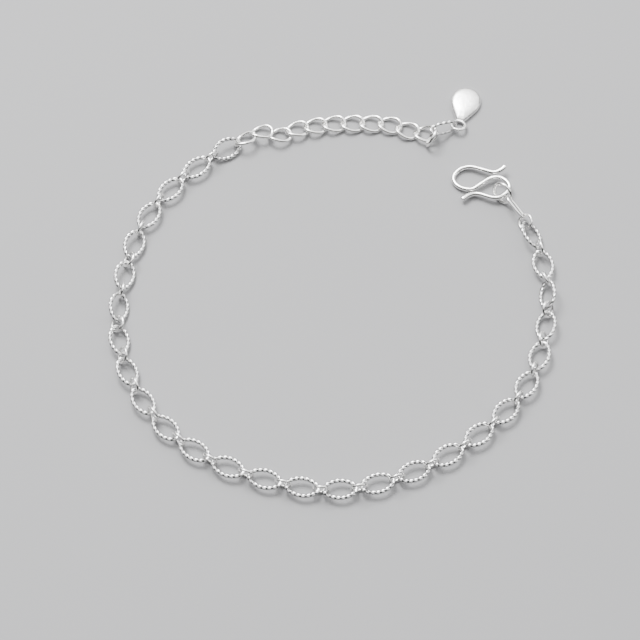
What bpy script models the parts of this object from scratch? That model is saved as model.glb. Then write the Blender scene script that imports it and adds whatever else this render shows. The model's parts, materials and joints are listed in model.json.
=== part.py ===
"""A silver chain bracelet, lying open on a flat surface.

Twenty-seven marquise links of twisted square wire and twenty-seven plain rings
interlock in an open loop. One end carries an S-shaped hook, the other end an
extender of curb links with a teardrop tag.
"""

from collections import namedtuple
from math import asin, atan2, cos, degrees, pi, radians, sin, sqrt

import bpy
from mathutils import Matrix, Vector

MM = 0.001
UP = Vector((0, 0, 1))

# Marquise links: outer length and width, and the width of the twisted square wire across its corners
MARQUISE_COUNT = 27
MARQUISE_LENGTH = 5.4 * MM
MARQUISE_WIDTH = 3.45 * MM
MARQUISE_WIRE = 0.6 * MM
MARQUISE_TIP_RADIUS = 0.85 * MM
MARQUISE_FACETS = 16

# Plain rings between them
RING_LENGTH = 2.8 * MM
RING_WIDTH = 2.7 * MM
RING_WIRE = 0.42 * MM

# Extender: curb links, then the ring that ends it
CURB_LENGTH = 4.1 * MM
CURB_WIDTH = 3.3 * MM
CURB_WIRE = 0.55 * MM
END_RING_LENGTH = 3.3 * MM
END_RING_WIDTH = 2.6 * MM
END_RING_WIRE = 0.5 * MM

# Teardrop tag, its eye, and the link that holds it
TAG_LINK_LENGTH = 4.7 * MM
TAG_LINK_WIDTH = 2.0 * MM
TAG_LINK_WIRE = 0.44 * MM
TAG_LINK_TIP_RADIUS = 0.65 * MM
DROP_LENGTH = 6.7 * MM
DROP_WIDTH = 4.8 * MM
DROP_THICKNESS = 1.1 * MM
EYE_DIAMETER = 2.7 * MM
EYE_WIRE = 0.5 * MM
NECK_HEIGHT = 0.45 * MM  # of the eye's wire where it joins the teardrop
NECK_OVERLAP = 0.1 * MM  # of the teardrop with the eye's wire

# Clasp: S-shaped hook, the ring in its closed loop, and the long link
HOOK_LENGTH = 9.3 * MM
HOOK_WIDTH = 6.7 * MM
HOOK_WIRE = 0.72 * MM
HOOK_TIP_RISE = 0.35 * MM
HOOK_SLIP = -0.1 * MM  # from the middle of the clasp ring to the hook's wire, along the ring
CLASP_RING_DIAMETER = 3.65 * MM
CLASP_RING_WIRE = 0.5 * MM
LONG_LINK_LENGTH = 4.9 * MM
LONG_LINK_WIDTH = 2.4 * MM
LONG_LINK_WIRE = 0.45 * MM
LONG_LINK_TIP_RADIUS = 0.85 * MM

# Clearances
TIP_PLAY = 0.23 * MM  # along the chain, between a link's wire and the wire it bears on
LOOSE_GAP = 0.14 * MM  # between two wires that lie close
FIRST_CURB_PLAY = 0.26 * MM  # between the first marquise's wire and the curb link's that it holds
CURB_TUCK = 0.05 * MM  # by which a curb link lies closer than with its wire against the next
HEIGHT_STEP = 0.35 * MM  # most that one marquise link lies lower than the next
FUSE = 0.3  # share of a wire by which curb links sink into each other where they cross

PITCH = (
    (MARQUISE_LENGTH - 2 * MARQUISE_WIRE)
    + (RING_LENGTH - 2 * RING_WIRE)
    - 2 * TIP_PLAY
)
CURB_PITCH = CURB_LENGTH - 2 * CURB_WIRE - CURB_TUCK

# Route of the main chain over the surface, as (x, y) in chain pitches. One point for every second
# link, from one link before the first marquise to one link after the last.
CHAIN_ROUTE = (
    (-2.05, 4.96),
    (-3.71, 3.80),
    (-4.98, 2.23),
    (-5.56, 0.30),
    (-5.65, -1.72),
    (-4.95, -3.60),
    (-3.58, -5.06),
    (-1.75, -5.89),
    (0.18, -6.21),
    (2.08, -5.68),
    (3.78, -4.59),
    (5.09, -3.11),
    (5.65, -1.27),
    (5.67, 0.63),
    (5.02, 2.52),
)

# How far a piece turns about the chain: positive lifts its side that faces the inside of the loop.
MARQUISE_ROLLS = {
    1: -26, 5: -16, 6: -22, 7: -30, 8: -20, 9: -14, 10: -6,
    22: -4, 23: -10, 24: -22, 25: -48, 27: 30,
}
RING_ROLLS = (
    80, 88, 86, 80, 50, 72, 42, 60, 74, 84, 90, 96, 98, 98, 98, 98, 98, 98,
    98, 96, 90, 76, 60, 52, 66, 100, -43,
)

# Headings in degrees from each curb link's centre to the next, and the roll of each curb link
CURB_HEADINGS = (30, -10, 23, 13, 9, 2, 0, -5, -20, -16)
CURB_ROLLS = (-28, -20, -14, -10, -6, -3, 0, 0, 0, 0, 0)
CURB_FIRST_HEADING = 30
CURB_FIRST_CLIMB = 5
CURB_LAST_CLIMB = 12

END_RING_SIDE = 221  # from the last curb link's tip to the middle of the end ring
END_RING_HEADING = 52
END_RING_CLIMB = 36
END_RING_ROLL = -61
END_RING_HELD = 29  # degrees round the end ring from its upper end to the tag link
TAG_LINK_HEADING = 24
TAG_LINK_CLIMB = -10
TAG_LINK_ROLL = 36
TAG_LINK_TWIST = 55  # degrees from one end to the other
DROP_HEADING = 75
EYE_REACH = 1.66  # from the neck to where the tag link bears, in radii of the eye
LONG_LINK_HEADING = 126
LONG_LINK_CLIMB = 10
LONG_LINK_ROLL = 55
CLASP_RING_HEADING = 138
CLASP_RING_ROLL = 109

# Centreline of the hook seen from above, as shares of HOOK_LENGTH and HOOK_WIDTH less the wire, with
# the rise of each tip as a share of HOOK_TIP_RISE
HookRow = namedtuple("HookRow", "along across rise")
HOOK_PATH = (
    (0.45, 0.47, 1.0),
    (0.36, 0.36, 0.3),
    (0.24, 0.30, 0.0),
    (0.06, 0.385, 0.0),
    (-0.10, 0.475, 0.0),
    (-0.23, 0.51, 0.0),
    (-0.375, 0.45, 0.0),
    (-0.48, 0.29, 0.0),
    (-0.503, 0.13, 0.0),
    (-0.464, -0.013, 0.0),
    (-0.386, -0.12, 0.0),
    (-0.283, -0.183, 0.0),
    (-0.184, -0.20, 0.0),
    (-0.10, -0.14, 0.0),
    (0.10, 0.065, 0.0),
    (0.21, 0.135, 0.0),
    (0.31, 0.135, 0.0),
    (0.41, 0.065, 0.0),
    (0.488, -0.085, 0.0),
    (0.497, -0.226, 0.0),
    (0.431, -0.387, 0.0),
    (0.316, -0.49, 0.0),
    (0.193, -0.49, 0.0),
    (0.07, -0.425, 0.0),
    (-0.03, -0.365, 0.0),
    (-0.14, -0.345, 0.0),
    (-0.24, -0.395, 0.3),
    (-0.37, -0.525, 1.0),
)
HOOK_HELD_ROW = 20.5  # place on the path that lies in the clasp ring, counted in rows

# Half width of the teardrop along its length, as shares of DROP_LENGTH and DROP_WIDTH
DropRow = namedtuple("DropRow", "along half_width")
DROP_OUTLINE = (
    (0.0, 0.12),
    (0.09, 0.20),
    (0.25, 0.33),
    (0.45, 0.46),
    (0.63, 0.50),
    (0.80, 0.445),
    (0.92, 0.32),
    (0.98, 0.17),
    (1.0, 0.0),
)
DROP_MIDDLE = 0.6  # where the face is highest, as a share of DROP_LENGTH
# Levels of the teardrop from its flat back to its domed face, as shares of its outline and height
DomeRow = namedtuple("DomeRow", "outline height")
DOME_ROWS = ((0.94, 0.0), (1.0, 0.25), (0.98, 0.50), (0.90, 0.75), (0.70, 0.92), (0.35, 0.99))


def smooth_point(points, place):
    """The point at a place counted in rows, on a Catmull-Rom curve through the points."""
    last = len(points) - 1
    row = min(max(int(place), 0), last - 1)
    share = place - row
    before = points[row - 1] if row > 0 else 2 * points[0] - points[1]
    after = points[row + 2] if row + 2 <= last else 2 * points[last] - points[last - 1]
    start, end = points[row], points[row + 1]
    return 0.5 * (
        2 * start
        + (end - before) * share
        + (2 * before - 5 * start + 4 * end - after) * share**2
        + (3 * start - before - 3 * end + after) * share**3
    )


def heading(degrees, climb=0):
    flat = cos(radians(climb))
    return Vector((cos(radians(degrees)) * flat, sin(radians(degrees)) * flat, sin(radians(climb))))


def placed(centre, along, roll):
    """Matrix of a piece whose length runs along a direction and whose width is rolled about it."""
    along = along.normalized()
    left = UP.cross(along).normalized()
    across = left * cos(radians(roll)) + along.cross(left) * sin(radians(roll))
    matrix = Matrix((along, across, along.cross(across))).transposed().to_4x4()
    matrix.translation = centre
    return matrix


def silver(name):
    material = bpy.data.materials.new(name)
    material.use_nodes = True
    shader = material.node_tree.nodes["Principled BSDF"]
    shader.inputs["Base Color"].default_value = (0.9, 0.9, 0.91, 1)
    shader.inputs["Metallic"].default_value = 1.0
    shader.inputs["Roughness"].default_value = 0.18
    return material


def add_object(name, mesh, matrix, parent):
    piece = bpy.data.objects.new(name, mesh)
    bpy.context.scene.collection.objects.link(piece)
    piece.parent = parent
    piece.matrix_world = matrix
    return piece


def finished_mesh(name, points, faces, smooth):
    mesh = bpy.data.meshes.new(name)
    mesh.from_pydata(points, [], faces)
    mesh.materials.append(silver(name))
    if smooth:
        mesh.shade_smooth()
        mesh.set_sharp_from_angle(angle=radians(50))
    return mesh


def wire_mesh(name, path, wire, sides, closed=True, twist=0.0, smooth=True):
    """A wire of the given width swept along a path, its section turned by twist from row to row."""
    count = len(path)
    points = []
    for row, centre in enumerate(path):
        before = path[row - 1] if closed or row > 0 else centre
        after = path[(row + 1) % count] if closed or row < count - 1 else centre
        tangent = (after - before).normalized()
        side = UP.cross(tangent).normalized()
        normal = tangent.cross(side)
        for corner in range(sides):
            angle = 2 * pi * corner / sides + twist * row
            points.append(centre + (side * cos(angle) + normal * sin(angle)) * wire / 2)
    faces = []
    for row in range(count if closed else count - 1):
        ahead = (row + 1) % count
        for corner in range(sides):
            beside = (corner + 1) % sides
            faces.append(
                (row * sides + corner, row * sides + beside, ahead * sides + beside, ahead * sides + corner)
            )
    if not closed:
        faces.append(tuple(reversed(range(sides))))
        faces.append(tuple((count - 1) * sides + corner for corner in range(sides)))
    return finished_mesh(name, points, faces, smooth)


def long_oval_path(length, width, tip_radius, count, twist=0.0):
    """Evenly spaced points of a long oval made of two side arcs and two tip arcs."""
    half_length, half_width = length / 2, width / 2
    tip_centre = half_length - tip_radius
    side_radius = (tip_centre**2 + half_width**2 - tip_radius**2) / (2 * (half_width - tip_radius))
    drop = side_radius - half_width
    meet = atan2(tip_centre, drop)
    side_run = side_radius * meet
    quarter_run = side_run + tip_radius * (pi / 2 - meet)
    path = []
    for step in range(count):
        run = 4 * quarter_run * step / count
        quarter, rest = divmod(run, quarter_run)
        backward = int(quarter) % 2 == 1
        run_in = quarter_run - rest if backward else rest
        if run_in < side_run:
            angle = run_in / side_radius
            x, y = side_radius * sin(angle), side_radius * cos(angle) - drop
        else:
            angle = meet + (run_in - side_run) / tip_radius
            x, y = tip_centre + tip_radius * sin(angle), tip_radius * cos(angle)
        x = x if quarter < 2 else -x
        y = -y if int(quarter) in (1, 2) else y
        path.append(Vector((x, y, twist * x * y)))
    return path


def oval_path(length, width, count, twist=0.0):
    """Points of an oval, whose two sides a twist lifts at one end and lowers at the other."""
    path = []
    for step in range(count):
        angle = 2 * pi * (step + 0.5) / count
        x, y = length / 2 * cos(angle), width / 2 * sin(angle)
        path.append(Vector((x, y, twist * x * y)))
    return path


def lowest(path, matrix):
    return min((matrix @ point).z for point in path)


def resting(path, wire, matrix):
    """The same matrix, raised until the wire lies on the surface."""
    raised = matrix.copy()
    raised.translation.z += wire / 2 - lowest(path, matrix)
    return raised


def marquise_centres():
    """Centre and direction of each marquise link, halfway between its two joints."""
    points = [Vector((x, y, 0)) * PITCH for x, y in CHAIN_ROUTE]
    joints = [smooth_point(points, (joint + 0.5) / 2) for joint in range(MARQUISE_COUNT + 1)]
    half_width = (MARQUISE_WIDTH - MARQUISE_WIRE) / 2
    ring_half_width = (RING_WIDTH - RING_WIRE) / 2
    tip_spacing = PITCH - (MARQUISE_LENGTH - MARQUISE_WIRE)
    room = ring_half_width - (MARQUISE_WIRE + RING_WIRE) / 2 - LOOSE_GAP / 2
    sag = sqrt(max(room**2 - (tip_spacing / 2) ** 2, 0.0))
    rolls = [MARQUISE_ROLLS.get(number, 0) for number in range(1, MARQUISE_COUNT + 1)]
    own_heights = [half_width * abs(sin(radians(roll))) + MARQUISE_WIRE / 2 for roll in rolls]
    links = []
    for row, (start, end) in enumerate(zip(joints, joints[1:])):
        height = own_heights[row]
        for ring_roll in RING_ROLLS[max(row - 1, 0) : row + 1]:
            lean = abs(sin(radians(ring_roll)))
            height = max(height, (ring_half_width - sag) * lean + RING_WIRE / 2)
        for neighbour_height in own_heights[max(row - 1, 0) : row + 2]:
            height = max(height, neighbour_height - HEIGHT_STEP)
        links.append(((start + end) / 2 + UP * height, (end - start).normalized(), rolls[row]))
    return links, joints[-1]


def build_main_chain(parent):
    links, chain_end = marquise_centres()
    tip = (MARQUISE_LENGTH - MARQUISE_WIRE) / 2
    path = long_oval_path(
        MARQUISE_LENGTH - MARQUISE_WIRE,
        MARQUISE_WIDTH - MARQUISE_WIRE,
        MARQUISE_TIP_RADIUS,
        2 * MARQUISE_FACETS,
    )
    mesh = wire_mesh("marquise_link", path, MARQUISE_WIRE, 4, twist=pi / 4, smooth=False)
    for number, (centre, along, roll) in enumerate(links, 1):
        add_object(f"marquise_link_{number:02d}", mesh, placed(centre, along, roll), parent)

    ring_path = oval_path(RING_LENGTH - RING_WIRE, RING_WIDTH - RING_WIRE, 12)
    ring_mesh = wire_mesh("connecting_ring", ring_path, RING_WIRE, 5)
    matrices = []
    for number, (centre, along, roll) in enumerate(links, 1):
        near = centre + along * tip
        if number < len(links):
            next_centre, next_along, next_roll = links[number]
            far = next_centre - next_along * tip
        else:
            far = near + (chain_end - near).normalized() * 2 * (PITCH / 2 - tip)
            far.z = near.z
        matrix = placed((near + far) / 2, far - near, RING_ROLLS[number - 1])
        across = matrix.col[1].to_3d()
        need = RING_WIRE / 2 - lowest(ring_path, matrix)
        if need > 0:
            matrix.translation += across * (need / across.z)
        matrices.append(matrix)
        add_object(f"connecting_ring_{number:02d}", ring_mesh, matrix, parent)
    return links, matrices


def oval_link(name, length, width, wire, matrix, parent, count=14, sides=6):
    mesh = wire_mesh(name, oval_path(length - wire, width - wire, count), wire, sides)
    return add_object(name, mesh, matrix, parent)


def fuse(piece, others):
    """Joins other pieces to one piece. They stay as hidden helpers."""
    for other in others:
        other.hide_render = True
        other.display_type = "WIRE"
        union = piece.modifiers.new("join_" + other.name, "BOOLEAN")
        union.operation = "UNION"
        union.solver = "EXACT"
        union.object = other


def build_extender(first_link, parent):
    """The curb links and their end ring, one fused body. Returns the end ring's matrix."""
    centre, along, roll = first_link
    tip = centre - along * (MARQUISE_LENGTH - MARQUISE_WIRE) / 2
    half_length = (CURB_LENGTH - CURB_WIRE) / 2
    half_width = (CURB_WIDTH - CURB_WIRE) / 2
    crossing = half_width * sqrt(1 - (CURB_PITCH / 2 / half_length) ** 2)
    twist = (1 - FUSE) * CURB_WIRE / (crossing * CURB_PITCH)
    path = oval_path(2 * half_length, 2 * half_width, 14, twist)
    mesh = wire_mesh("curb_link", path, CURB_WIRE, 6)

    bearing = (MARQUISE_WIRE + CURB_WIRE) / 2 + FIRST_CURB_PLAY
    spot = tip + heading(CURB_FIRST_HEADING) * (half_length - bearing)
    pieces = []
    climbs = {0: CURB_FIRST_CLIMB, len(CURB_ROLLS) - 1: CURB_LAST_CLIMB}
    steps = (CURB_FIRST_HEADING,) + CURB_HEADINGS + (CURB_HEADINGS[-1],)
    for number, curb_roll in enumerate(CURB_ROLLS):
        if number > 0:
            spot = spot + heading(steps[number]) * CURB_PITCH
        climb = climbs.get(number, 0)
        way = heading((steps[number] + steps[number + 1]) / 2, climb)
        matrix = resting(path, CURB_WIRE, placed(spot, way, curb_roll))
        name = "extender_chain" if number == 0 else f"curb_link_{number + 1:02d}"
        pieces.append(add_object(name, mesh, matrix, parent))

    last_tip = matrix @ Vector((half_length, 0, 0))
    ring_way = heading(END_RING_HEADING, END_RING_CLIMB)
    ring_path = oval_path(END_RING_LENGTH - END_RING_WIRE, END_RING_WIDTH - END_RING_WIRE, 14)
    ring_mesh = wire_mesh("end_ring", ring_path, END_RING_WIRE, 6)
    reach = (END_RING_LENGTH - END_RING_WIRE) / 2 - (END_RING_WIRE + CURB_WIRE) / 2 * (1 - FUSE)
    ring_spot = last_tip + heading(END_RING_SIDE) * reach
    ring_matrix = placed(ring_spot, ring_way, END_RING_ROLL)
    ring_matrix = resting(ring_path, END_RING_WIRE, ring_matrix)
    pieces.append(add_object("end_ring", ring_mesh, ring_matrix, parent))
    fuse(pieces[0], pieces[1:])
    return ring_matrix


def drop_section(share):
    """Half width of the teardrop at a share of its length."""
    rows = [Vector(DropRow(*values)) for values in DROP_OUTLINE]
    for place in range(len(rows) - 1):
        if share <= rows[place + 1].x:
            part = (share - rows[place].x) / (rows[place + 1].x - rows[place].x)
            return smooth_point(rows, place + part).y
    return 0.0


def drop_outline(count):
    """The teardrop's outline, anticlockwise, its neck at the origin and its length along X."""
    half = []
    for step in range(count + 1):
        share = (1 - cos(pi * step / count)) / 2
        half.append((share * DROP_LENGTH, max(drop_section(share), 0.0) * DROP_WIDTH))
    lower = [Vector((x, -y, 0)) for x, y in half]
    upper = [Vector((x, y, 0)) for x, y in reversed(half[:-1])]
    return lower + upper


def build_drop(eye_centre, held_height, parent):
    """The teardrop with its eye, flat below and domed above, one fused body."""
    outline = drop_outline(14)
    middle = Vector((DROP_MIDDLE * DROP_LENGTH, 0, 0))
    levels = []
    for row in (DomeRow(*values) for values in DOME_ROWS):
        height = UP * DROP_THICKNESS * row.height
        levels.append([middle + (point - middle) * row.outline + height for point in outline])
    count = len(outline)
    points = [point for level in levels for point in level]
    points.append(middle + UP * DROP_THICKNESS)
    faces = [tuple(reversed(range(count)))]
    for level in range(len(levels) - 1):
        for step in range(count):
            ahead = (step + 1) % count
            faces.append(
                (
                    level * count + step,
                    level * count + ahead,
                    (level + 1) * count + ahead,
                    (level + 1) * count + step,
                )
            )
    top = (len(levels) - 1) * count
    for step in range(count):
        faces.append((top + step, top + (step + 1) % count, len(points) - 1))
    mesh = finished_mesh("drop", points, faces, True)

    radius = (EYE_DIAMETER - EYE_WIRE) / 2
    tilt = asin((held_height - NECK_HEIGHT) / (EYE_REACH * radius))
    eye_spot = Vector((eye_centre.x, eye_centre.y, NECK_HEIGHT + radius * sin(tilt)))
    eye_way = heading(DROP_HEADING + 180, degrees(tilt))
    eye = oval_link("drop_eye", EYE_DIAMETER, EYE_DIAMETER, EYE_WIRE, placed(eye_spot, eye_way, 0), parent)
    way = heading(DROP_HEADING)
    neck = Vector((eye_centre.x, eye_centre.y, 0)) + way * (radius - NECK_OVERLAP)
    drop = add_object("drop", mesh, placed(neck, way, 0), parent)
    fuse(drop, [eye])
    return drop


def build_tag(end_ring_matrix, parent):
    """The link through the extender's end ring, and the teardrop that it holds."""
    half_length = (TAG_LINK_LENGTH - TAG_LINK_WIRE) / 2
    half_width = (TAG_LINK_WIDTH - TAG_LINK_WIRE) / 2
    twist = sin(radians(TAG_LINK_TWIST)) / half_length
    path = long_oval_path(2 * half_length, 2 * half_width, TAG_LINK_TIP_RADIUS, 16, twist)
    turn = radians(END_RING_HELD)
    bearing = (END_RING_WIRE + TAG_LINK_WIRE) / 2 + LOOSE_GAP
    reach_along = (END_RING_LENGTH - END_RING_WIRE) / 2 * cos(turn)
    reach_across = (END_RING_WIDTH - END_RING_WIRE) / 2 * sin(turn)
    held = end_ring_matrix @ Vector((reach_along, reach_across, 0))
    way = heading(TAG_LINK_HEADING, TAG_LINK_CLIMB)
    centre = held + way * (half_length - bearing)
    matrix = placed(centre, way, TAG_LINK_ROLL)
    add_object("tag_link", wire_mesh("tag_link", path, TAG_LINK_WIRE, 6), matrix, parent)

    eye_radius = (EYE_DIAMETER - EYE_WIRE) / 2
    eye_bearing = (EYE_WIRE + TAG_LINK_WIRE) / 2 + LOOSE_GAP
    tip = matrix @ Vector((half_length, 0, 0))
    eye_centre = tip + way * (eye_radius - eye_bearing)
    build_drop(eye_centre, tip.z, parent)


def build_clasp(last_ring, parent):
    """The long link, the clasp ring and the hook, each bearing on the one before."""
    ring_reach = (RING_LENGTH - RING_WIRE) / 2
    half_length = (LONG_LINK_LENGTH - LONG_LINK_WIRE) / 2
    path = long_oval_path(2 * half_length, LONG_LINK_WIDTH - LONG_LINK_WIRE, LONG_LINK_TIP_RADIUS, 16)
    way = heading(LONG_LINK_HEADING, LONG_LINK_CLIMB)
    bearing = (RING_WIRE + LONG_LINK_WIRE) / 2 + LOOSE_GAP
    start = last_ring.translation + last_ring.col[0].to_3d() * ring_reach - way * bearing
    matrix = placed(start + way * half_length, way, LONG_LINK_ROLL)
    add_object("long_link", wire_mesh("long_link", path, LONG_LINK_WIRE, 6), matrix, parent)

    radius = (CLASP_RING_DIAMETER - CLASP_RING_WIRE) / 2
    bearing = (CLASP_RING_WIRE + LONG_LINK_WIRE) / 2 + LOOSE_GAP
    ring_way = heading(CLASP_RING_HEADING)
    end = matrix @ Vector((half_length, 0, 0))
    ring_path = oval_path(2 * radius, 2 * radius, 14)
    rise = radius * sin(radians(CLASP_RING_ROLL)) + CLASP_RING_WIRE / 2 - end.z
    reach = sqrt(max((radius - bearing) ** 2 - rise**2, 0.0))
    ring_matrix = placed(end + ring_way * reach, ring_way, CLASP_RING_ROLL)
    ring_matrix = resting(ring_path, CLASP_RING_WIRE, ring_matrix)
    oval_link("clasp_ring", CLASP_RING_DIAMETER, CLASP_RING_DIAMETER, CLASP_RING_WIRE, ring_matrix, parent)
    build_hook(ring_matrix, parent)


def build_hook(ring_matrix, parent):
    length, width = HOOK_LENGTH - HOOK_WIRE, HOOK_WIDTH - HOOK_WIRE
    rows = [
        Vector((row.along * length, row.across * width, row.rise * HOOK_TIP_RISE))
        for row in (HookRow(*values) for values in HOOK_PATH)
    ]
    path = [smooth_point(rows, step / 2) for step in range(2 * len(rows) - 1)]
    mesh = wire_mesh("hook", path, HOOK_WIRE, 6, closed=False)
    held = smooth_point(rows, HOOK_HELD_ROW)
    lift = CLASP_RING_WIRE + LOOSE_GAP
    far_end = min(row.x for row in rows)
    matrix = Matrix.Rotation(-asin(lift / (held.x - far_end)), 4, "Y")
    offset = ring_matrix.translation + ring_matrix.col[0].to_3d() * HOOK_SLIP - matrix @ held
    offset.z = HOOK_WIRE / 2 - lowest(path, matrix)
    matrix.translation = offset
    add_object("hook", mesh, matrix, parent)


def centre_on_origin(parent):
    """Moves the whole bracelet so that the middle of its footprint is the origin."""
    bpy.context.view_layer.update()
    graph = bpy.context.evaluated_depsgraph_get()
    corners = []
    for piece in parent.children:
        if piece.hide_render:
            continue
        solid = piece.evaluated_get(graph)
        mesh = solid.to_mesh()
        corners += [solid.matrix_world @ vertex.co for vertex in mesh.vertices]
        solid.to_mesh_clear()
    for axis in range(2):
        values = [corner[axis] for corner in corners]
        parent.location[axis] = -(min(values) + max(values)) / 2
    parent.location[2] = -min(corner[2] for corner in corners)


def main():
    for old in list(bpy.data.objects):
        bpy.data.objects.remove(old)
    parent = bpy.data.objects.new("bracelet", None)
    bpy.context.scene.collection.objects.link(parent)
    links, rings = build_main_chain(parent)
    end_ring = build_extender(links[0], parent)
    build_tag(end_ring, parent)
    build_clasp(rings[-1], parent)
    centre_on_origin(parent)


main()
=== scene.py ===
# %% [markdown]
# This lesson dresses a fine silver bracelet for its portrait. The plain model that it loads has
# every link, ring and hook as a small faceted solid at its true size and place. Each step below
# looks at one kind of piece on the real bracelet, makes a finer mesh that lies exactly where the
# plain solid lies, and hides the plain one. The last steps give the silver its polish, and set
# the camera and the lights.

# %% Load the plain model
import json
from collections import namedtuple
from math import asin, atan2, cos, degrees, pi, radians, sin, sqrt

import bpy
import numpy as np
from mathutils import Matrix, Vector


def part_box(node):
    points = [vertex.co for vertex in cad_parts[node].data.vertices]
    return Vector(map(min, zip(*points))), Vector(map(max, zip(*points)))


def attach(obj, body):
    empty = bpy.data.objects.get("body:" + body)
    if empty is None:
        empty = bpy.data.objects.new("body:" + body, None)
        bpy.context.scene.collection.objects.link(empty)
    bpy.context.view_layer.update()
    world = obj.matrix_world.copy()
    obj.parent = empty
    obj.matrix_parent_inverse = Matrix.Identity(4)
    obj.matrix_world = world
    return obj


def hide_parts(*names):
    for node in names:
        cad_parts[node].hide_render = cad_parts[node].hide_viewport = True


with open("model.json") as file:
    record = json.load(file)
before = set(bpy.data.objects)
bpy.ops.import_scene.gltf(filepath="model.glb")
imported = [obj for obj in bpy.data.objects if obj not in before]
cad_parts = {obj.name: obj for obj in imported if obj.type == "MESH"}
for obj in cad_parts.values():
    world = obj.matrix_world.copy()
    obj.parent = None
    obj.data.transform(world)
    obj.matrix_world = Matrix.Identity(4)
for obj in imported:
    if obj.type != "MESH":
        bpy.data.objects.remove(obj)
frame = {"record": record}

MM = 0.001
UP = Vector((0, 0, 1))

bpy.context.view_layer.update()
slots = {row["node"]: row["material_slot"] for row in frame["record"]["subparts"]}
marquise_nodes = sorted(node for node in slots if node.startswith("marquise_link"))
ring_nodes = sorted(node for node in slots if node.startswith("connecting_ring"))
print(len(marquise_nodes), "marquise links and", len(ring_nodes), "connecting rings")

# %% [markdown]
# The camera comes first, because every later choice is judged through it. The bracelet was
# photographed from quite high up with a long lens, so the far side of the loop looks almost as
# large as the near side. A long lens stands for that here. It aims at a point inside the loop
# that is measured from the link at the near side, so it stays right if the model moves.

# %% Camera
LENS = 157.5
CAMERA_DISTANCE = 423.3 * MM
CAMERA_ELEVATION = 58.53  # degrees above the floor
AIM_LINK = "marquise_link_15"
AIM_FROM_LINK = Vector((2.59, 29.15, 0)) * MM

link_low, link_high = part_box(AIM_LINK)
aim = (link_low + link_high) / 2 + AIM_FROM_LINK
aim.z = 0
elevation = radians(CAMERA_ELEVATION)
camera_data = bpy.data.cameras.new("portrait_camera")
camera_data.lens = LENS
camera_data.clip_start = 0.01
camera_data.clip_end = 20
camera = bpy.data.objects.new("portrait_camera", camera_data)
camera.location = aim + Vector((0, -cos(elevation), sin(elevation))) * CAMERA_DISTANCE
camera.rotation_euler = (pi / 2 - elevation, 0, 0)
bpy.context.scene.collection.objects.link(camera)
bpy.context.scene.camera = camera
print("camera at", [round(value, 4) for value in camera.location])

# %% [markdown]
# Nearly everything on a bracelet is bent wire. So one helper does most of the modelling: it sweeps
# a cross section along a path. A curve object with a bevel could do the same, but its section
# can't change along the wire, and these wires are twisted, flattened at their ends and soldered.
# With the rows of points made in code, each row can have a section of its own.
#
# Two values are stored on every point for the finishes. The first is the point's place on its own
# wire, in millimetres, so that scratches can follow the wire round its bends. The second says how
# deep the point lies in a groove, where polish never reaches and the silver stays darker. On the
# twisted wire it marks the middle of each flat side, and there the darker colour is also painted
# shade: the dark dashes that those sides show by reflection.

# %% Sweep a wire
Wire = namedtuple("Wire", "points faces place groove")


def unit(vectors):
    return vectors / np.linalg.norm(vectors, axis=-1, keepdims=True)


def grid_faces(rows, sides, closed):
    faces = []
    for row in range(rows if closed else rows - 1):
        ahead = (row + 1) % rows
        for corner in range(sides):
            beside = (corner + 1) % sides
            faces.append(
                (row * sides + corner, row * sides + beside, ahead * sides + beside, ahead * sides + corner)
            )
    if not closed:
        faces.append(tuple(reversed(range(sides))))
        faces.append(tuple((rows - 1) * sides + corner for corner in range(sides)))
    return faces


def swept_wire(path, section, groove=None, closed=True):
    """A wire along a path. The section gives, for each row, its offsets sideways and upwards."""
    path = np.array(path, float)
    rows, sides = section.shape[:2]
    ahead, behind = np.roll(path, -1, axis=0), np.roll(path, 1, axis=0)
    if not closed:
        ahead[-1], behind[0] = path[-1], path[0]
    tangent = unit(ahead - behind)
    side = unit(np.cross((0, 0, 1), tangent))
    lift = np.cross(tangent, side)
    points = path[:, None] + section[..., :1] * side[:, None] + section[..., 1:] * lift[:, None]
    steps = np.linalg.norm(np.diff(path, axis=0, prepend=path[:1]), axis=1)
    run = np.repeat(np.cumsum(steps)[:, None, None], sides, axis=1)
    place = np.concatenate((run, section), axis=2) / MM
    if groove is None:
        groove = np.zeros((rows, sides))
    faces = grid_faces(rows, sides, closed)
    return Wire(points.reshape(-1, 3), faces, place.reshape(-1, 3), groove.reshape(-1))


def moved(wire, matrix):
    turn = np.array(matrix.to_3x3())
    return wire._replace(points=wire.points @ turn.T + np.array(matrix.translation))


def joined(wires):
    """Several wires as one."""
    starts = np.cumsum([0] + [len(wire.points) for wire in wires])
    faces = []
    for start, wire in zip(starts, wires):
        faces += [tuple(int(start) + corner for corner in face) for face in wire.faces]
    points = np.concatenate([wire.points for wire in wires])
    place = np.concatenate([wire.place for wire in wires])
    return Wire(points, faces, place, np.concatenate([wire.groove for wire in wires]))


# %% [markdown]
# Each finer piece takes its place from the plain solid that it replaces. A link is a flat loop, so
# the spread of its points tells everything: they spread most along the link, less across it, and
# least through its thickness. The singular value decomposition in numpy finds those three
# directions, which is simpler than repeating how each link was laid and can't drift away from it.

# %% Find how a plain link lies
def lie_of(node):
    """Matrix of a plain link: its length along X, its width along Y, its thin way along Z."""
    mesh = bpy.data.objects[node].data
    flat = np.zeros(3 * len(mesh.vertices))
    mesh.vertices.foreach_get("co", flat)
    points = np.unique(flat.reshape(-1, 3).round(7), axis=0)
    centre = points.mean(axis=0)
    along, across, _ = np.linalg.svd(points - centre, full_matrices=False)[2]
    normal = np.cross(along, across)
    if normal[2] < 0:
        across, normal = -across, -normal
    matrix = Matrix((along, across, normal)).transposed().to_4x4()
    matrix.translation = centre
    return matrix


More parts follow.
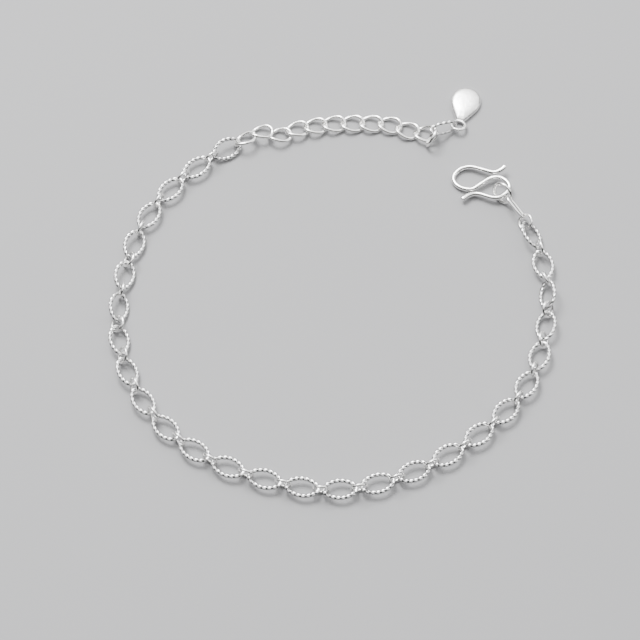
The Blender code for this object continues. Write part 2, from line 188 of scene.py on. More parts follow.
def add_piece(name, wire, node):
    """The fine mesh as an object that stands for a plain node, in the finish of the node's slot."""
    mesh = bpy.data.meshes.new(name)
    mesh.from_pydata(wire.points.tolist(), [], wire.faces)
    place = mesh.attributes.new("wire_place", "FLOAT_VECTOR", "POINT")
    place.data.foreach_set("vector", wire.place.reshape(-1))
    groove = mesh.attributes.new("groove", "FLOAT", "POINT")
    groove.data.foreach_set("value", wire.groove.reshape(-1))
    mesh.shade_smooth()
    piece = bpy.data.objects.new(name, mesh)
    bpy.context.scene.collection.objects.link(piece)
    mesh.materials.append(finishes[slots[node]])
    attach(piece, "root")
    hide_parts(node)
    return piece


# %% [markdown]
# Silver is one metal, but it shows three finishes here. The twisted wire sparkles, the plain wire
# and the hook are drawn smooth and polished, and the tag is brushed to a soft satin.
#
# Long node trees are hard to read when every socket is linked by hand. So a small class wraps an
# output socket, and Python's own operators then add the Math nodes: 1 - clouds * 0.5 builds two
# nodes and reads like the sum that it is.

# %% Shader maths in Python
class Output:
    """An output socket that can be added, subtracted and multiplied."""

    def __init__(self, nodes, socket):
        self.nodes = nodes
        self.socket = socket

    def maths(self, operation, first, second):
        return self.nodes.node("ShaderNodeMath", {"operation": operation}, {0: first, 1: second})

    def __add__(self, other):
        return self.maths("ADD", self, other)

    def __radd__(self, other):
        return self.maths("ADD", other, self)

    def __sub__(self, other):
        return self.maths("SUBTRACT", self, other)

    def __rsub__(self, other):
        return self.maths("SUBTRACT", other, self)

    def __mul__(self, other):
        return self.maths("MULTIPLY", self, other)

    def __rmul__(self, other):
        return self.maths("MULTIPLY", other, self)


# %% Node trees
class Nodes:
    """A node tree that is built node by node."""

    def __init__(self, tree):
        self.tree = tree

    def fill(self, node, sockets):
        for key, value in sockets.items():
            if isinstance(value, Output):
                self.tree.links.new(value.socket, node.inputs[key])
            else:
                node.inputs[key].default_value = value

    def node(self, kind, settings=None, sockets=None, output=0):
        """Adds a node, makes its settings first, and fills its sockets."""
        node = self.tree.nodes.new(kind)
        for key, value in (settings or {}).items():
            if key == "stops":
                for stop, (spot, grey) in zip(node.color_ramp.elements, value):
                    stop.position = spot
                    stop.color = (grey, grey, grey, 1)
            else:
                setattr(node, key, value)
        self.fill(node, sockets or {})
        return Output(self, node.outputs[output])

    def attribute(self, name, output):
        return self.node("ShaderNodeAttribute", {"attribute_name": name}, output=output)

    def noise(self, vector, scale, detail=2.0, roughness=0.5):
        sockets = {"Vector": vector, "Scale": scale, "Detail": detail, "Roughness": roughness}
        return self.node("ShaderNodeTexNoise", {}, sockets)

    def ramp(self, factor, low, high):
        """0 below low, 1 above high, and a smooth change between."""
        settings = {"interpolation_type": "SMOOTHSTEP", "clamp": True}
        return self.node("ShaderNodeMapRange", settings, {"Value": factor, "From Min": low, "From Max": high})

    def mix(self, factor, first, second):
        sockets = {"Factor": factor, 6: first, 7: second}
        return self.node("ShaderNodeMix", {"data_type": "RGBA"}, sockets, output=2)

    def stretched(self, vector, amounts):
        return self.node("ShaderNodeVectorMath", {"operation": "MULTIPLY"}, {0: vector, 1: amounts})


class Finish(Nodes):
    """The nodes of a new material."""

    def __init__(self, name):
        self.material = bpy.data.materials.new(name)
        self.material.use_nodes = True
        super().__init__(self.material.node_tree)
        self.shader = self.tree.nodes["Principled BSDF"]


# %% [markdown]
# Polished silver has almost no colour of its own. What the eye reads as silver is a sharp picture
# of the surroundings, broken up by tiny faults: drawing marks that run along the wire, faint
# clouds where fingers have touched it, and a grey film in the hollows. The marks are a noise
# texture that is stretched along the wire, and they reach the surface through a Bump node. The
# clouds move the roughness up and down a little. The film darkens the base colour. On the twisted
# wire it is dark enough to be painted shade as well: it paints the dark dashes between the bright
# beads, which the real wire shows by reflection.

# %% Silver finishes
BRIGHT_SILVER = (0.96, 0.955, 0.94, 1)
# Grey of the film in the hollows, and on the twisted wire the painted shade of its dark dashes
FILM_AND_PAINTED_SHADE_SILVER = (0.20, 0.20, 0.215, 1)
CLOUDS_PER_METRE = 700.0
SMEARED_FROM = 0.42  # of the clouds
SMEARED_TO = 0.70
SPECKS_PER_METRE = 5200.0
# The specks vary the film and painted shade of the grooves at random
SPECKLE = 0.8  # how much the specks vary the film
GROOVE_ROUGHNESS = 0.10
MARK_ROUGHNESS = 0.05
MARK_STRENGTH = 0.35

# Polish is the lowest roughness, clouding what smears add to it, and tarnish how grey they make the
# silver. Film and painted shade is the darkness of the grooves: a film alone on the plain wire and
# the tag, and on the cut wire also painted shade for the dark dashes between its beads. Marks have
# a scale along the wire and two across it.
FinishRow = namedtuple("FinishRow", "slot name polish clouding tarnish film mark_scale mark_depth")
FINISH_ROWS = (
    FinishRow("twisted_silver", "cut_wire", 0.10, 0.10, 0.06, 0.85, (3.0, 14.0, 14.0), 0.02 * MM),
    FinishRow("plain_silver", "drawn_wire", 0.08, 0.10, 0.06, 0.60, (1.2, 22.0, 22.0), 0.02 * MM),
    FinishRow("satin_silver", "satin_sheet", 0.22, 0.12, 0.26, 0.70, (1.6, 30.0, 6.0), 0.03 * MM),
)


def silver(row):
    """The material of one finish."""
    finish = Finish(row.name)
    here = finish.node("ShaderNodeTexCoord", output="Object")
    place = finish.attribute("wire_place", "Vector")
    groove = finish.attribute("groove", "Fac")
    clouds = finish.noise(here, CLOUDS_PER_METRE, detail=3.0)
    smears = finish.ramp(clouds, SMEARED_FROM, SMEARED_TO)
    specks = finish.noise(here, SPECKS_PER_METRE)
    marks = finish.noise(finish.stretched(place, row.mark_scale), 1.0, detail=4.0, roughness=0.6)
    # Darkening of the grooves: a film of tarnish, and on the twisted wire painted shade for the dark dashes
    film = groove * row.film * (1 - SPECKLE / 2 + SPECKLE * specks)
    colour = finish.mix(1 - film - row.tarnish * smears, FILM_AND_PAINTED_SHADE_SILVER, BRIGHT_SILVER)
    roughness = row.polish + row.clouding * smears + GROOVE_ROUGHNESS * groove + MARK_ROUGHNESS * marks
    scratches = {"Strength": MARK_STRENGTH, "Distance": row.mark_depth, "Height": marks}
    bump = finish.node("ShaderNodeBump", {}, scratches)
    looks = {"Metallic": 1.0, "Base Color": colour, "Roughness": roughness, "Normal": bump}
    finish.fill(finish.shader, looks)
    return finish.material


finishes = {row.slot: silver(row) for row in FINISH_ROWS}
print("finishes", sorted(finishes))

# %% [markdown]
# The marquise links are what makes this bracelet glitter. Their wire is square and twisted, so its
# four flat sides wind round it like the stripes of a barber's pole. Each side catches the light
# once every quarter turn and shows as a bright bead, with a dark dash before the next. The loop
# has pointed ends with a small radius, and it was soldered shut at one of them, where the twist
# is melted smooth.
#
# The loop is drawn with four arcs: two long ones for the sides and two short ones for the tips. A
# squashed circle would be quicker, but its tips are too blunt.

# %% Path of a long pointed loop
def long_oval(length, width, tip_radius, count, twist=0.0):
    """Evenly spaced points of a loop of two side arcs and two tip arcs."""
    half_length, half_width = length / 2, width / 2
    tip_centre = half_length - tip_radius
    side_radius = (tip_centre**2 + half_width**2 - tip_radius**2) / (2 * (half_width - tip_radius))
    beyond = side_radius - half_width
    meet = atan2(tip_centre, beyond)
    side_run = side_radius * meet
    quarter_run = side_run + tip_radius * (pi / 2 - meet)
    path = []
    for step in range(count):
        quarter, rest = divmod(4 * quarter_run * step / count, quarter_run)
        run_in = quarter_run - rest if int(quarter) % 2 else rest
        if run_in < side_run:
            angle = run_in / side_radius
            x, y = side_radius * sin(angle), side_radius * cos(angle) - beyond
        else:
            angle = meet + (run_in - side_run) / tip_radius
            x, y = tip_centre + tip_radius * sin(angle), tip_radius * cos(angle)
        x = x if quarter < 2 else -x
        y = -y if int(quarter) in (1, 2) else y
        path.append((x, y, twist * x * y))
    return np.array(path)


def oval(length, width, count, twist=0.0):
    """Points of a plain oval. A twist lifts it at two corners and lowers it at the others."""
    angles = 2 * pi * np.arange(count) / count
    x, y = length / 2 * np.cos(angles), width / 2 * np.sin(angles)
    return np.stack((x, y, twist * x * y), axis=1)


# %% Section of the twisted wire
MARQUISE_LENGTH = 5.4 * MM
MARQUISE_WIDTH = 3.45 * MM
MARQUISE_WIRE = 0.6 * MM
MARQUISE_TIP_RADIUS = 0.85 * MM
MARQUISE_TURNS = 4  # of the square wire, all round the loop
MARQUISE_ROWS = 160
SOLDER_WIDTH = 0.85  # of the wire across its corners
SOLDER_REACH = 0.45 * MM

# One flat side of the square wire, from corner to corner. Its groove column darkens the middle of
# the side, as painted shade for the dark dash that each side shows between two beads.
SideRow = namedtuple("SideRow", "degrees reach groove")
SQUARE_SIDE = (
    SideRow(-41, 0.99, 0.0),
    SideRow(-22, 0.79, 0.6),
    SideRow(0, 0.72, 1.0),
    SideRow(22, 0.79, 0.6),
    SideRow(41, 0.99, 0.0),
)


def twisted_section(path, wire, turns, solder_at=None):
    """Rows of a square section that turns along the wire. It is round and smooth at the solder."""
    rows = len(path)
    angles, reach, groove = [], [], []
    for side in range(4):
        for row in SQUARE_SIDE:
            angles.append(radians(90 * side + 45 + row.degrees))
            reach.append(row.reach)
            groove.append(row.groove)
    twisted = np.array(angles)[None] + 2 * pi * turns * np.arange(rows)[:, None] / rows
    reach = np.repeat(np.array(reach)[None], rows, axis=0)
    groove = np.repeat(np.array(groove)[None], rows, axis=0)
    if solder_at is not None:
        away = np.linalg.norm(path - np.array(solder_at), axis=1)
        melt = np.exp(-((away / SOLDER_REACH) ** 2))[:, None]
        reach = reach * (1 - melt) + SOLDER_WIDTH * melt
        groove = groove * (1 - melt)
    offsets = np.stack((np.cos(twisted), np.sin(twisted)), axis=2) * reach[..., None] * wire / 2
    return offsets, groove


# %% Marquise links
def marquise_wire():
    length, width = MARQUISE_LENGTH - MARQUISE_WIRE, MARQUISE_WIDTH - MARQUISE_WIRE
    path = long_oval(length, width, MARQUISE_TIP_RADIUS, MARQUISE_ROWS)
    section, groove = twisted_section(path, MARQUISE_WIRE, MARQUISE_TURNS, solder_at=(length / 2, 0, 0))
    return swept_wire(path, section, groove)


one_marquise = marquise_wire()
for node in marquise_nodes:
    add_piece("twisted_" + node, moved(one_marquise, lie_of(node)), node)
print("marquise links of", len(one_marquise.faces), "faces each")

# %% [markdown]
# Small plain rings join the marquise links. Each is cut from a coil of round wire, closed and
# soldered, which leaves a hair line across the wire. The line is modelled as one narrow row where
# the section is a little thinner, because a line that is only painted on vanishes in close views.

# %% Round wire with a seam
SEAM_DEPTH = 0.05  # of the wire
SEAM_WIDTH = 0.04 * MM


def round_section(path, wire, sides=16, seam_row=None):
    rows = len(path)
    angles = 2 * pi * np.arange(sides) / sides
    reach = np.ones((rows, sides))
    groove = np.zeros((rows, sides))
    if seam_row is not None:
        reach[seam_row] -= SEAM_DEPTH
        groove[seam_row] = 1.0
    circle = np.stack((np.cos(angles), np.sin(angles)), axis=1) * wire / 2
    return circle[None] * reach[..., None], groove


def with_seam(path):
    """The same closed path with a narrow row on each side of its first point."""
    step = unit(path[1] - path[-1]) * SEAM_WIDTH
    return np.concatenate(([path[0]], [path[0] + step], path[1:], [path[0] - step]))


def round_ring(path, wire, sides=16):
    seamed = with_seam(path)
    section, groove = round_section(seamed, wire, sides, seam_row=0)
    return swept_wire(seamed, section, groove)


# %% Connecting rings
RING_LENGTH = 2.8 * MM
RING_WIDTH = 2.7 * MM
RING_WIRE = 0.42 * MM
RING_ROWS = 48
RING_SIDES = 14

ring_path = oval(RING_LENGTH - RING_WIRE, RING_WIDTH - RING_WIRE, RING_ROWS)
one_ring = round_ring(ring_path, RING_WIRE, RING_SIDES)
for node in ring_nodes:
    add_piece("round_" + node, moved(one_ring, lie_of(node)), node)
print("connecting rings of", len(one_ring.faces), "faces each")

# %% [markdown]
# The extender is a curb chain: each link is twisted so that it lies flat on the next one. The
# plain model has all of its links fused in one solid, so here the links are laid out again by the
# same rule, one pitch after another from the tip of the first marquise link. Each comes out as a
# loop of its own. The flat links nearly clear each other where their wires cross. The first few are
# rolled on their sides, and there the wires run through each other, as in the fused solid.

# %% Values of the extender
CURB_LENGTH = 4.1 * MM
CURB_WIDTH = 3.3 * MM
CURB_WIRE = 0.55 * MM
CURB_ROWS = 56
CURB_TUCK = 0.05 * MM  # by which a link lies closer than wire against wire
CURB_PITCH = CURB_LENGTH - 2 * CURB_WIRE - CURB_TUCK
CURB_HEADINGS = (30, -10, 23, 13, 9, 2, 0, -5, -20, -16)  # degrees, from link to link
CURB_ROLLS = (-28, -20, -14, -10, -6, -3, 0, 0, 0, 0, 0)  # degrees, of each link on its side
CURB_FIRST_HEADING = 30
CURB_FIRST_CLIMB = 5
CURB_LAST_CLIMB = 12
CURB_CROSSING = 1.04  # height between two wires that cross, in wire widths
FIRST_CURB_CROSSING = 0.70
FIRST_CURB_PLAY = 0.26 * MM
END_RING_LENGTH = 3.3 * MM
END_RING_WIDTH = 2.6 * MM
END_RING_WIRE = 0.5 * MM
END_RING_SIDE = 221  # degrees, the way from the last link's tip to the ring's middle
END_RING_HEADING = 52  # degrees, the way that its length points
END_RING_CLIMB = 36
END_RING_ROLL = -61
END_RING_SUNK = 0.3  # share by which its wire sinks into the last link's


# %% Lay the extender out
def heading(turn, climb=0.0):
    flat = cos(radians(climb))
    return Vector((cos(radians(turn)) * flat, sin(radians(turn)) * flat, sin(radians(climb))))


def placed(centre, along, roll):
    """Matrix of a piece whose length runs along a direction and whose width is rolled about it."""
    along = along.normalized()
    left = UP.cross(along).normalized()
    across = left * cos(radians(roll)) + along.cross(left) * sin(radians(roll))
    matrix = Matrix((along, across, along.cross(across))).transposed().to_4x4()
    matrix.translation = centre
    return matrix


def resting(path, wire, matrix):
    """The same matrix, raised until the wire lies on the surface."""
    raised = matrix.copy()
    lowest = min((matrix @ Vector(point)).z for point in path)
    raised.translation.z += wire / 2 - lowest
    return raised


def extender_wires():
    first = lie_of("marquise_link_01")
    way = first.col[0].to_3d()
    if way.x < 0:
        way = -way
    tip = first.translation + way * (MARQUISE_LENGTH - MARQUISE_WIRE) / 2
    half_length, half_width = (CURB_LENGTH - CURB_WIRE) / 2, (CURB_WIDTH - CURB_WIRE) / 2
    crossing = half_width * sqrt(1 - (CURB_PITCH / 2 / half_length) ** 2)
    bearing = (MARQUISE_WIRE + CURB_WIRE) / 2 + FIRST_CURB_PLAY
    spot = tip + heading(CURB_FIRST_HEADING) * (half_length - bearing)
    steps = (CURB_FIRST_HEADING,) + CURB_HEADINGS + (CURB_HEADINGS[-1],)
    climbs = {0: CURB_FIRST_CLIMB, len(CURB_ROLLS) - 1: CURB_LAST_CLIMB}
    wires = []
    for number, roll in enumerate(CURB_ROLLS):
        if number > 0:
            spot = spot + heading(steps[number]) * CURB_PITCH
        clear = FIRST_CURB_CROSSING if number == 0 else CURB_CROSSING
        twist = clear * CURB_WIRE / (crossing * CURB_PITCH)
        path = oval(2 * half_length, 2 * half_width, CURB_ROWS, twist)
        direction = heading((steps[number] + steps[number + 1]) / 2, climbs.get(number, 0))
        matrix = resting(path, CURB_WIRE, placed(spot, direction, roll))
        wires.append(moved(round_ring(path, CURB_WIRE), matrix))
    last_tip = matrix @ Vector((half_length, 0, 0))
    path = oval(END_RING_LENGTH - END_RING_WIRE, END_RING_WIDTH - END_RING_WIRE, CURB_ROWS)
    reach = (END_RING_LENGTH - END_RING_WIRE) / 2 - (END_RING_WIRE + CURB_WIRE) / 2 * (1 - END_RING_SUNK)
    ring_spot = last_tip + heading(END_RING_SIDE) * reach
    matrix = placed(ring_spot, heading(END_RING_HEADING, END_RING_CLIMB), END_RING_ROLL)
    wires.append(moved(round_ring(path, END_RING_WIRE), resting(path, END_RING_WIRE, matrix)))
    return joined(wires)


extender = add_piece("curb_extender", extender_wires(), "extender_chain")
low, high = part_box("extender_chain")
spans = np.array([vertex.co for vertex in extender.data.vertices])
print("extender differs from its solid by", ((spans.min(axis=0) - low) / MM).round(2))

# %% [markdown]
# Three links differ from the rest. A short twisted one holds the tag, a long narrow one leads to
# the clasp, and a round ring goes through the hook. They are loops as before, so they need only
# their own sizes.

# %% Tag link, long link and clasp ring
TAG_LINK_LENGTH = 4.7 * MM
TAG_LINK_WIDTH = 2.0 * MM
TAG_LINK_WIRE = 0.44 * MM
TAG_LINK_TIP_RADIUS = 0.65 * MM
TAG_LINK_TWIST = 55  # degrees, how strongly the loop is twisted
TAG_LINK_TURNS = 3
TAG_LINK_ROWS = 120
LONG_LINK_LENGTH = 4.9 * MM
LONG_LINK_WIDTH = 2.4 * MM
LONG_LINK_WIRE = 0.45 * MM
LONG_LINK_TIP_RADIUS = 0.85 * MM
LONG_LINK_ROWS = 64
CLASP_RING_DIAMETER = 3.65 * MM
CLASP_RING_WIRE = 0.5 * MM
CLASP_RING_ROWS = 56

tag_twist = sin(radians(TAG_LINK_TWIST)) / ((TAG_LINK_LENGTH - TAG_LINK_WIRE) / 2)
tag_long, tag_wide = TAG_LINK_LENGTH - TAG_LINK_WIRE, TAG_LINK_WIDTH - TAG_LINK_WIRE
tag_path = long_oval(tag_long, tag_wide, TAG_LINK_TIP_RADIUS, TAG_LINK_ROWS, tag_twist)
tag_section, tag_groove = twisted_section(tag_path, TAG_LINK_WIRE, TAG_LINK_TURNS)
tag_wire = swept_wire(tag_path, tag_section, tag_groove)
add_piece("twisted_tag_link", moved(tag_wire, lie_of("tag_link")), "tag_link")

long_long, long_wide = LONG_LINK_LENGTH - LONG_LINK_WIRE, LONG_LINK_WIDTH - LONG_LINK_WIRE
long_path = long_oval(long_long, long_wide, LONG_LINK_TIP_RADIUS, LONG_LINK_ROWS)
long_wire = round_ring(long_path, LONG_LINK_WIRE)
add_piece("round_long_link", moved(long_wire, lie_of("long_link")), "long_link")

clasp_across = CLASP_RING_DIAMETER - CLASP_RING_WIRE
clasp_wire = round_ring(oval(clasp_across, clasp_across, CLASP_RING_ROWS), CLASP_RING_WIRE)
add_piece("round_clasp_ring", moved(clasp_wire, lie_of("clasp_ring")), "clasp_ring")

# %% [markdown]
# The hook is one piece of thicker wire, bent like a lying letter S. Its two ends are hammered flat
# and turned up a little, so that nothing catches on cloth. The bend is a table of places along
# the wire, joined by a smooth curve, and the hammered ends are a change of the section: wider and
# thinner towards the tip, with the last rows drawn in to a rounded edge.

# %% Bend of the hook
HOOK_LENGTH = 9.3 * MM
HOOK_WIDTH = 6.7 * MM
HOOK_WIRE = 0.72 * MM
HOOK_TIP_RISE = 0.35 * MM
CLEAR_OF_RING = 0.14 * MM

# Centre of the wire seen from above, and the rise of each tip, as shares of the hook's sizes
HookRow = namedtuple("HookRow", "along across rise")
HOOK_PATH = (
    HookRow(0.45, 0.47, 1.0),
    HookRow(0.36, 0.36, 0.3),
    HookRow(0.24, 0.30, 0.0),
    HookRow(0.06, 0.385, 0.0),
    HookRow(-0.10, 0.475, 0.0),
    HookRow(-0.23, 0.51, 0.0),
    HookRow(-0.375, 0.45, 0.0),
    HookRow(-0.48, 0.29, 0.0),
    HookRow(-0.503, 0.13, 0.0),
    HookRow(-0.464, -0.013, 0.0),
    HookRow(-0.386, -0.12, 0.0),
    HookRow(-0.283, -0.183, 0.0),
    HookRow(-0.184, -0.20, 0.0),
    HookRow(-0.10, -0.14, 0.0),
    HookRow(0.10, 0.065, 0.0),
    HookRow(0.21, 0.135, 0.0),
    HookRow(0.31, 0.135, 0.0),
    HookRow(0.41, 0.065, 0.0),
    HookRow(0.488, -0.085, 0.0),
    HookRow(0.497, -0.226, 0.0),
    HookRow(0.431, -0.387, 0.0),
    HookRow(0.316, -0.49, 0.0),
    HookRow(0.193, -0.49, 0.0),
    HookRow(0.07, -0.425, 0.0),
    HookRow(-0.03, -0.365, 0.0),
    HookRow(-0.14, -0.345, 0.0),
    HookRow(-0.24, -0.395, 0.3),
    HookRow(-0.37, -0.525, 1.0),
)
HOOK_HELD_ROW = 20.5  # place on the path that lies in the clasp ring, counted in rows


def smooth_point(points, place):
    """The point at a place counted in rows, on a Catmull-Rom curve through the points."""
    last = len(points) - 1
    row = min(max(int(place), 0), last - 1)
    share = place - row
    before = points[row - 1] if row > 0 else 2 * points[0] - points[1]
    after = points[row + 2] if row + 2 <= last else 2 * points[last] - points[last - 1]
    start, end = points[row], points[row + 1]
    return 0.5 * (
        2 * start
        + (end - before) * share
        + (2 * before - 5 * start + 4 * end - after) * share**2
        + (3 * start - before - 3 * end + after) * share**3
    )


# %% Hammer the tips of the hook
HAMMERED_REACH = 1.5 * MM
HAMMERED_WIDTH = 1.12  # of the wire, at the tip
HAMMERED_HEIGHT = 0.62
TIP_ROUNDING = 0.3 * MM
TIP_BLUNTNESS = 0.02
HOOK_SIDES = 20
HOOK_STEPS = 8  # rows of points from one row of the table to the next
HOOK_END_STEPS = 4  # finer rows in the first and last of those


def hook_section(path):
    """An oval section: round in the middle of the wire, wide and thin at both ends."""
    steps = np.linalg.norm(np.diff(path, axis=0, prepend=path[:1]), axis=1)
    run = np.cumsum(steps)
    to_tip = np.minimum(run, run[-1] - run)
    flat = 1 - np.clip(to_tip / HAMMERED_REACH, 0, 1)
    flat = flat * flat * (3 - 2 * flat)
    close = 1 - np.clip(to_tip / TIP_ROUNDING, 0, 1)
    closing = np.sqrt(np.clip(1 - close**2, TIP_BLUNTNESS, 1))
    widths = (1 + (HAMMERED_WIDTH - 1) * flat) * closing
    heights = (1 + (HAMMERED_HEIGHT - 1) * flat) * closing
    angles = 2 * pi * np.arange(HOOK_SIDES) / HOOK_SIDES
    circle = np.stack((np.cos(angles), np.sin(angles)), axis=1) * HOOK_WIRE / 2
    return circle[None] * np.stack((widths, heights), axis=1)[:, None]


def hook_wire():
    length, width = HOOK_LENGTH - HOOK_WIRE, HOOK_WIDTH - HOOK_WIRE
    rows = [
        np.array((row.along * length, row.across * width, row.rise * HOOK_TIP_RISE)) for row in HOOK_PATH
    ]
    last = len(rows) - 1
    fine_end = np.arange(HOOK_END_STEPS) / (HOOK_END_STEPS * HOOK_STEPS)
    places = np.concatenate((fine_end, np.arange(1, last * HOOK_STEPS) / HOOK_STEPS, last - fine_end[::-1]))
    path = np.array([smooth_point(rows, place) for place in places])
    held = smooth_point(rows, HOOK_HELD_ROW)
    far_end = min(row[0] for row in rows)
    tilt = Matrix.Rotation(-asin((CLASP_RING_WIRE + CLEAR_OF_RING) / (held[0] - far_end)), 4, "Y")
    laid = path @ np.array(tilt.to_3x3()).T
    low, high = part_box("hook")
    middle = (laid.min(axis=0) + laid.max(axis=0)) / 2
    shift = np.array((low + high) / 2) - middle
    shift[2] = low.z + HOOK_WIRE / 2 - laid[:, 2].min()
    tilt.translation = Vector(shift)
    return moved(swept_wire(path, hook_section(path), closed=False), tilt)


hook = add_piece("bent_hook", hook_wire(), "hook")
print("hook of", len(hook.data.polygons), "faces")

# %% [markdown]
# The tag is a little teardrop, flat behind and softly domed in front, with a thick eye at its
# narrow end. The dome follows a table of levels. The eye is soldered on, so both are melted into
# one skin with a Remesh modifier, and a few rounds of smoothing leave the small fillet that solder
# makes. The remesh can't work with sizes below a tenth of a millimetre, so the tag is modelled a
# thousand times too large and shrunk when it is done.

# %% Values of the tag
DROP_LENGTH = 6.7
DROP_WIDTH = 4.8
DROP_THICKNESS = 1.1
DROP_HEADING = 75
DROP_MIDDLE = 0.6  # of the length from the neck, where the dome is highest
EYE_DIAMETER = 2.7
EYE_WIRE = 0.5
NECK_HEIGHT = 0.45  # of the eye's wire above the flat back
NECK_OVERLAP = 0.1
EYE_ROWS = 64
EYE_SIDES = 24
BEYOND_NECK = 0.9  # where only the eye is left
OUTLINE_STEPS = 48
DOME_STEPS = 4  # levels of points from one row of the table to the next
REMESH_SIZE = 0.055
SOLDER_ROUNDS = 8
SOLDER_SMOOTHNESS = 0.5
NECK_FILM = 0.6
NECK_FILM_REACH = 0.3

DropRow = namedtuple("DropRow", "along half_width")
DROP_OUTLINE = (
    DropRow(0.0, 0.12),
    DropRow(0.09, 0.20),
    DropRow(0.25, 0.33),
    DropRow(0.45, 0.46),
    DropRow(0.63, 0.50),
    DropRow(0.80, 0.445),
    DropRow(0.92, 0.32),
    DropRow(0.98, 0.17),
    DropRow(1.0, 0.0),
)
DomeRow = namedtuple("DomeRow", "outline height")
DOME_ROWS = (
    DomeRow(0.94, 0.0),
    DomeRow(1.0, 0.25),
    DomeRow(0.98, 0.50),
    DomeRow(0.90, 0.75),
    DomeRow(0.70, 0.92),
    DomeRow(0.35, 0.99),
    DomeRow(0.02, 1.0),
)


# %% Outline and dome of the tag
def half_width_at(share):
    rows = [np.array(row) for row in DROP_OUTLINE]
    for place, (start, end) in enumerate(zip(rows, rows[1:])):
        if share <= end[0]:
            return max(smooth_point(rows, place + (share - start[0]) / (end[0] - start[0]))[1], 0.0)
    return 0.0


def drop_points():
    shares = (1 - np.cos(pi * np.arange(OUTLINE_STEPS + 1) / OUTLINE_STEPS)) / 2
    lower = [(share * DROP_LENGTH, -half_width_at(share) * DROP_WIDTH, 0.0) for share in shares]
    upper = [(x, -y, 0.0) for x, y, _ in reversed(lower[:-1])]
    outline = np.array(lower + upper)
    middle = np.array((DROP_MIDDLE * DROP_LENGTH, 0, 0))
    dome = [np.array(row) for row in DOME_ROWS]
    levels = []
    for step in range(DOME_STEPS * (len(dome) - 1) + 1):
        share, height = smooth_point(dome, step / DOME_STEPS)
        levels.append(middle + (outline - middle) * share + np.array((0, 0, height * DROP_THICKNESS)))
    return np.array(levels)


def drop_solid():
    levels = drop_points()
    rows, sides = levels.shape[:2]
    return levels.reshape(-1, 3), grid_faces(rows, sides, closed=False)


print("tag outline of", drop_points().shape[1], "points")


# %% Place the tag
def drop_matrix():
    """The teardrop's own matrix, its neck at the origin, found from its flat back."""
    mesh = bpy.data.objects["drop"].data
    points = np.array([vertex.co for vertex in mesh.vertices])
    back = points[points[:, 2] < points[:, 2].min() + 1e-6]
    way = np.array(heading(DROP_HEADING))
    side = np.array(heading(DROP_HEADING + 90))
    far = (back @ way).max() - (1 - DROP_MIDDLE) * DOME_ROWS[0].outline * DROP_LENGTH * MM
    along = way * (far - DROP_MIDDLE * DROP_LENGTH * MM)
    across = side * ((back @ side).min() + (back @ side).max()) / 2
    matrix = placed(Vector(along + across), Vector(way), 0)
    matrix.translation.z = points[:, 2].min()
    return matrix, points


def eye_tilt(matrix, points):
    """How far the plain eye leans up from the surface, in degrees."""
    local = (points - np.array(matrix.translation)) @ np.array(matrix.to_3x3())
    eye = np.unique(local[local[:, 0] < -BEYOND_NECK * MM].round(7), axis=0)
    slope = np.polyfit(eye[:, 0], eye[:, 2], 1)[0]
    return degrees(-atan2(slope, 1))


# %% Melt the tag and its eye into one skin
def tag_object():
    matrix, plain_points = drop_matrix()
    tilt = eye_tilt(matrix, plain_points)
    radius = (EYE_DIAMETER - EYE_WIRE) / 2
    eye_centre = Vector((NECK_OVERLAP - radius, 0, NECK_HEIGHT + radius * sin(radians(tilt))))
    eye_way = Vector((-cos(radians(tilt)), 0, sin(radians(tilt))))
    eye_path = oval(2 * radius, 2 * radius, EYE_ROWS)
    section, _ = round_section(eye_path, EYE_WIRE, EYE_SIDES)
    eye = moved(swept_wire(eye_path, section), placed(eye_centre, eye_way, 0))
    body_points, body_faces = drop_solid()
    body = Wire(body_points, body_faces, body_points, np.zeros(len(body_points)))
    both = joined([body, eye])
    mesh = bpy.data.meshes.new("tag_parts")
    mesh.from_pydata(both.points.tolist(), [], both.faces)
    raw = bpy.data.objects.new("tag_parts", mesh)
    bpy.context.scene.collection.objects.link(raw)
    remesh = raw.modifiers.new("one_skin", "REMESH")
    remesh.mode = "VOXEL"
    remesh.voxel_size = REMESH_SIZE
    smooth = raw.modifiers.new("solder_fillet", "SMOOTH")
    smooth.factor = SOLDER_SMOOTHNESS
    smooth.iterations = SOLDER_ROUNDS
    graph = bpy.context.evaluated_depsgraph_get()
    skin = bpy.data.meshes.new_from_object(raw.evaluated_get(graph))
    bpy.data.objects.remove(raw)
    points = np.array([vertex.co for vertex in skin.vertices])
    faces = [tuple(face.vertices) for face in skin.polygons]
    groove = NECK_FILM * np.exp(-(((points[:, 0] + NECK_OVERLAP / 2) / NECK_FILM_REACH) ** 2))
    print("eye leans", round(tilt, 1), "degrees; skin of", len(faces), "faces")
    return moved(Wire(points * MM, faces, points, groove), matrix)


add_piece("domed_drop", tag_object(), "drop")

# %% [markdown]
# The bracelet lies on a plain pale floor. Silver shows only what is around it, so the studio is
# built for its reflections. A wide bright ceiling leans to the back, to the place that level wire
# mirrors when it is seen from the camera. That makes the upper half of every wire white. The
# ceiling fades out well above the floor, and this dark band draws a thin dark line along the lower
# side of each wire. With light from all round, the wires would look like white string.
#
# The ceiling alone casts hardly any shadow, so one soft box at the back left adds the soft ones
# under the links, and a weak one at the right opens them a little.

# %% Floor
FLOOR_HALF = 1.5
FLOOR_DARK = (0.290, 0.290, 0.296, 1)
FLOOR_LIGHT = (0.305, 0.305, 0.311, 1)
FLOOR_CLOUDS_PER_METRE = 18.0
FLOOR_ROUGHNESS = 0.75


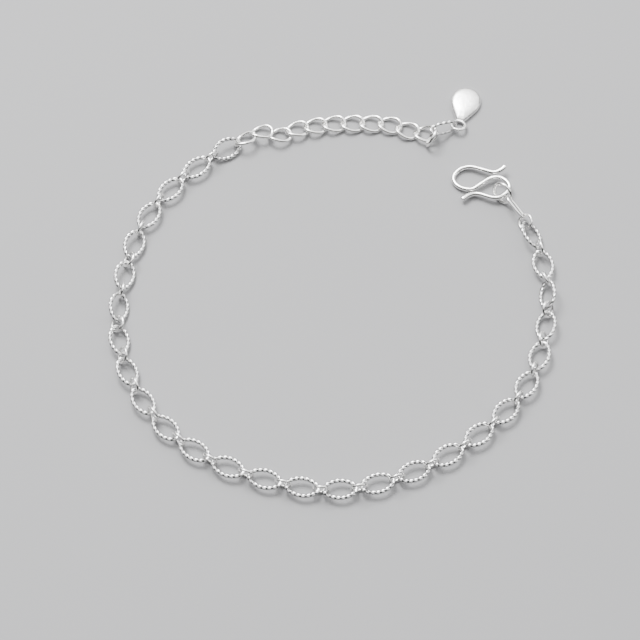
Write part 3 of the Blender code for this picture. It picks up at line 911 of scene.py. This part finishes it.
def pale_floor():
    finish = Finish("pale_floor")
    here = finish.node("ShaderNodeTexCoord", output="Object")
    clouds = finish.noise(here, FLOOR_CLOUDS_PER_METRE, detail=3.0)
    colour = finish.mix(clouds, FLOOR_DARK, FLOOR_LIGHT)
    finish.fill(finish.shader, {"Base Color": colour, "Roughness": FLOOR_ROUGHNESS})
    corners = [(-1, -1), (1, -1), (1, 1), (-1, 1)]
    mesh = bpy.data.meshes.new("floor")
    mesh.from_pydata([(x * FLOOR_HALF, y * FLOOR_HALF, 0) for x, y in corners], [], [(0, 1, 2, 3)])
    mesh.materials.append(finish.material)
    floor = bpy.data.objects.new("floor", mesh)
    bpy.context.scene.collection.objects.link(floor)
    print("floor", 2 * FLOOR_HALF, "m wide")


pale_floor()


# %% Lights
LightRow = namedtuple("LightRow", "name place size power")
LIGHTS = (
    LightRow("key_softbox", (-0.16, 0.34, 0.52), 0.30, 8.0),
    LightRow("side_softbox", (0.55, 0.05, 0.30), 0.25, 0.8),
)

for row in LIGHTS:
    data = bpy.data.lights.new(row.name, "AREA")
    data.size = row.size
    data.energy = row.power
    light = bpy.data.objects.new(row.name, data)
    light.location = row.place
    light.rotation_euler = (aim - light.location).to_track_quat("-Z", "Y").to_euler()
    bpy.context.scene.collection.objects.link(light)
print("lights", [row.name for row in LIGHTS])

# %% Bright ceiling
CEILING_LEAN = 27  # degrees from straight up towards the back
CEILING_STOPS = ((0.45, 0.02), (0.85, 1.0))  # how squarely a ray meets the ceiling, and its brightness
CEILING_STRENGTH = 3.0

world = bpy.data.worlds.new("studio")
world.use_nodes = True
bpy.context.scene.world = world
studio = Nodes(world.node_tree)
ray = studio.node("ShaderNodeTexCoord", output="Generated")
middle = (0.0, sin(radians(CEILING_LEAN)), cos(radians(CEILING_LEAN)))
squareness = studio.node("ShaderNodeVectorMath", {"operation": "DOT_PRODUCT"}, {0: ray, 1: middle}, "Value")
glow = studio.node("ShaderNodeValToRGB", {"stops": CEILING_STOPS}, {"Fac": squareness})
studio.fill(studio.tree.nodes["Background"], {"Color": glow, "Strength": CEILING_STRENGTH})
print("ceiling leans", CEILING_LEAN, "degrees")
